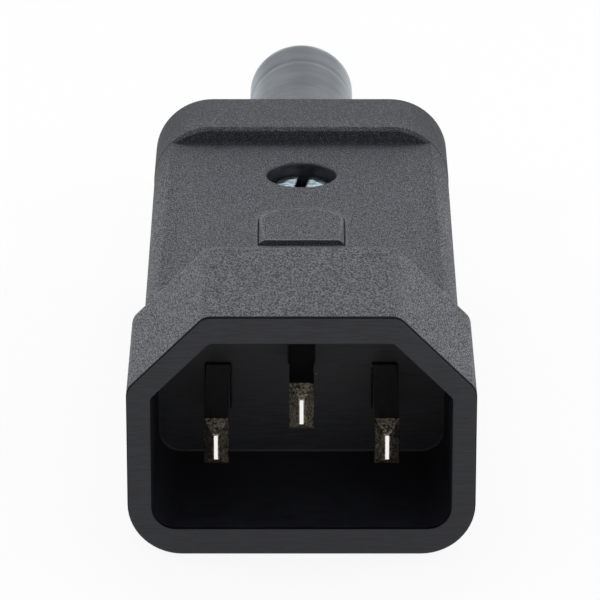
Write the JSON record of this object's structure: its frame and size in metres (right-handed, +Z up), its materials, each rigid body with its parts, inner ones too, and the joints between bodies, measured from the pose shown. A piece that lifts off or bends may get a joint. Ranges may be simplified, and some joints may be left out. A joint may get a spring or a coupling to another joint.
{
  "type": "rewirable appliance power plug",
  "caption": "Inline appliance power plug: flat blades in a bevelled shroud, a housing with a screwed-on top cover, a cord clamp inside and a bend relief sleeve.",
  "frame": {"origin": "middle of the part's length and width, at the height of the shroud's underside", "axes": "+Y from the mouth of the shroud to the cord end, +Z up, X across; the mouth faces -Y"},
  "size_m": [0.0284, 0.0842, 0.0209],
  "materials": {
    "black_plastic": "spark-eroded matt black",
    "plated_brass": "nickel-plated brass, brass showing at the bevelled tips",
    "zinc_steel": "bright zinc plate",
    "soft_sleeve": "soft moulded sleeve, satin"
  },
  "bodies": {
    "root": {"lower_housing": "black_plastic", "upper_cover": "black_plastic", "live_contact": "plated_brass", "neutral_contact": "plated_brass", "earth_contact": "plated_brass", "live_terminal_screw": "zinc_steel", "neutral_terminal_screw": "zinc_steel", "earth_terminal_screw": "zinc_steel", "housing_screw": "zinc_steel", "cord_clamp": "black_plastic", "clamp_screw_left": "zinc_steel", "clamp_screw_right": "zinc_steel", "bend_relief_boot": "soft_sleeve"}
  },
  "joints": []
}
